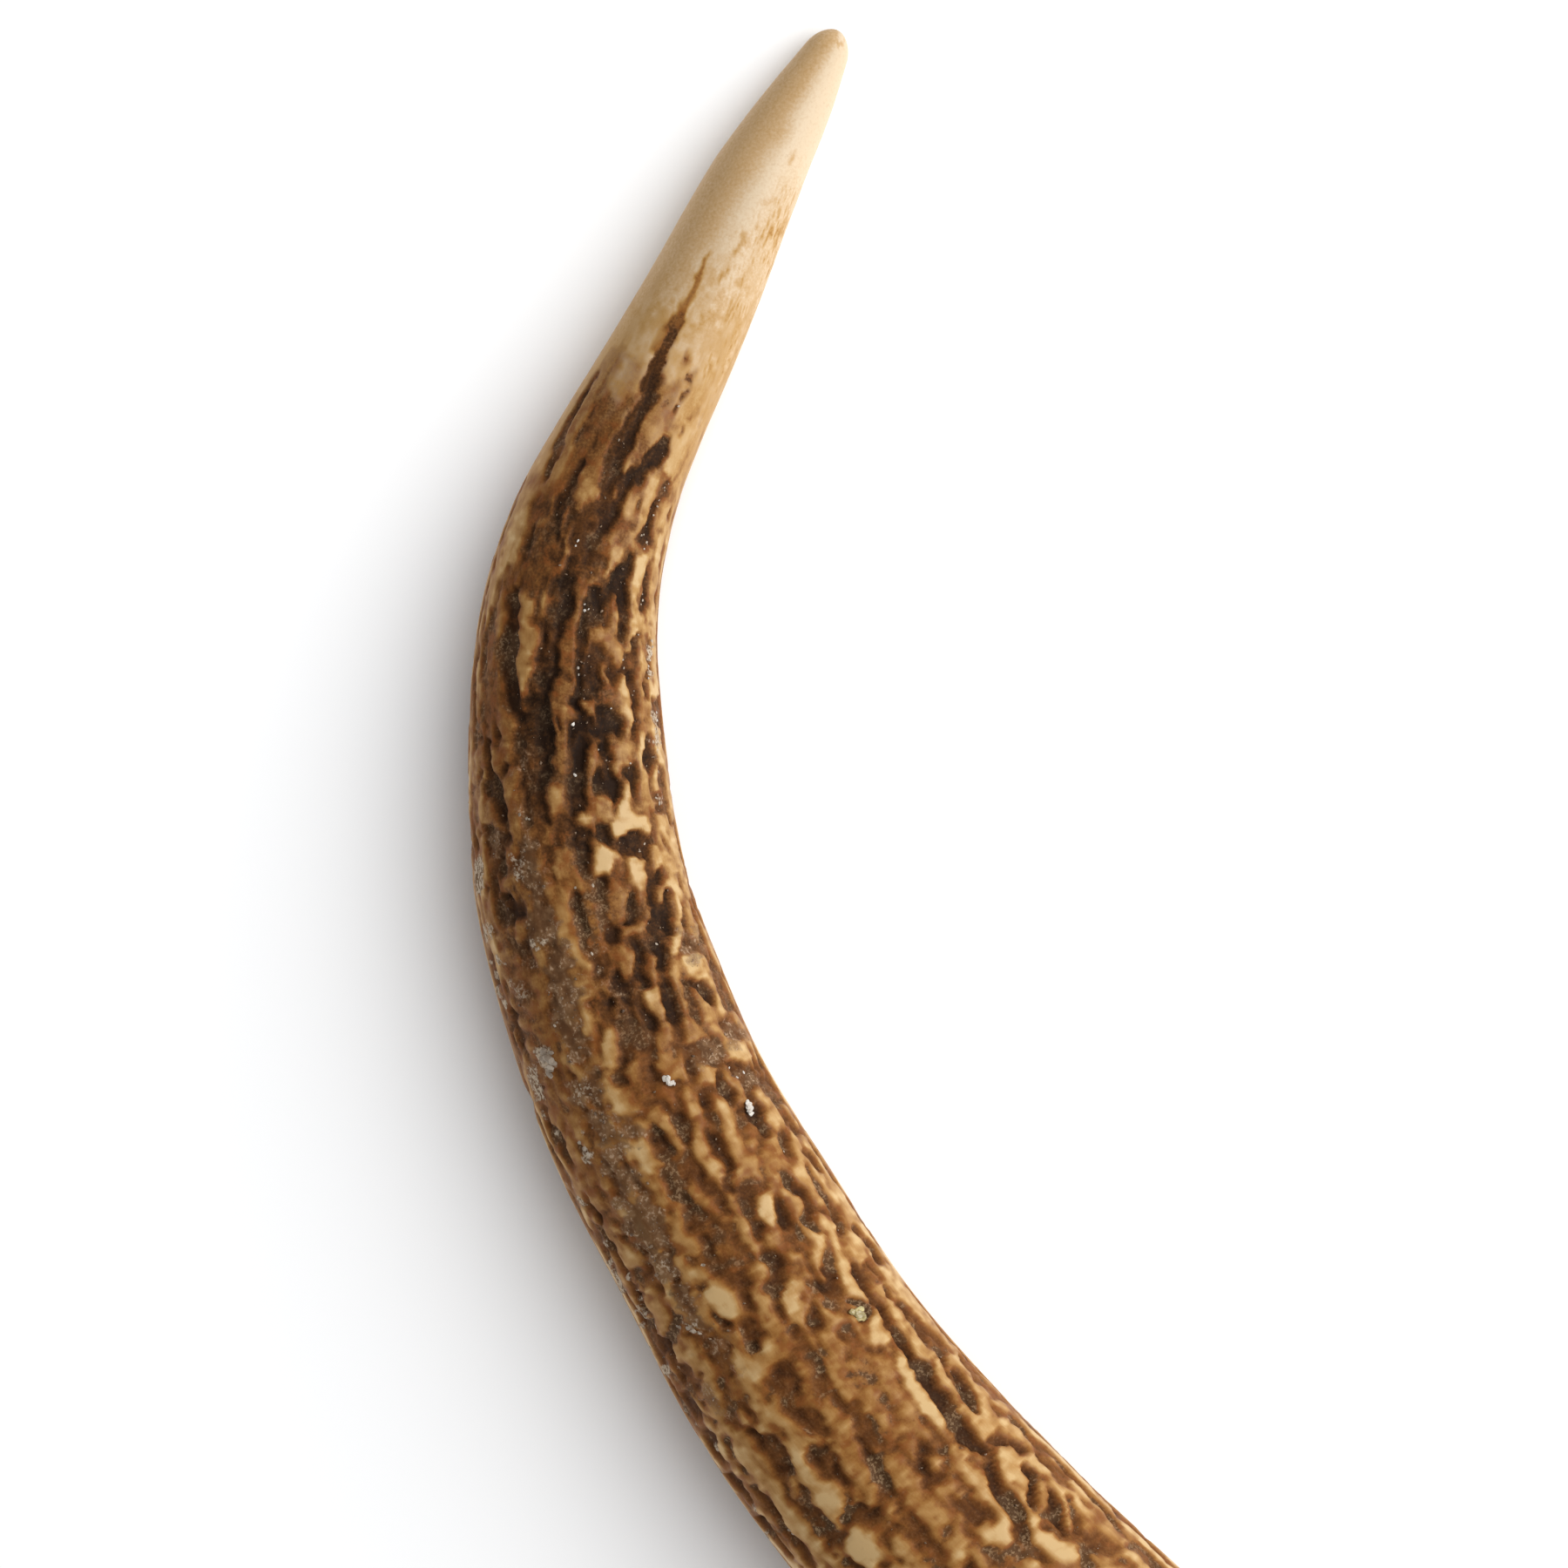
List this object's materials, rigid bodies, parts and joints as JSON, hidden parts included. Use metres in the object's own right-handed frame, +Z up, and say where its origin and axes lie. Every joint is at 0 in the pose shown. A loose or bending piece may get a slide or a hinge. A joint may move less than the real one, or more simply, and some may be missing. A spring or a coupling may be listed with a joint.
{
  "type": "deer antler tine",
  "caption": "Curved end tine of a deer antler: smooth ivory tip, pearled and grooved brown shaft, flat sawn base, lying on its side.",
  "frame": {"origin": "on the surface that the tine lies on, under the centre of its bounding box", "axes": "+Z up; +Y along the long way of the lying tine, towards the tip; +X towards the inside of the bend, where the sawn base also points"},
  "size_m": [0.0829, 0.2025, 0.0301],
  "materials": {
    "antler": "satin"
  },
  "bodies": {
    "root": {"antler": "antler"}
  },
  "joints": []
}
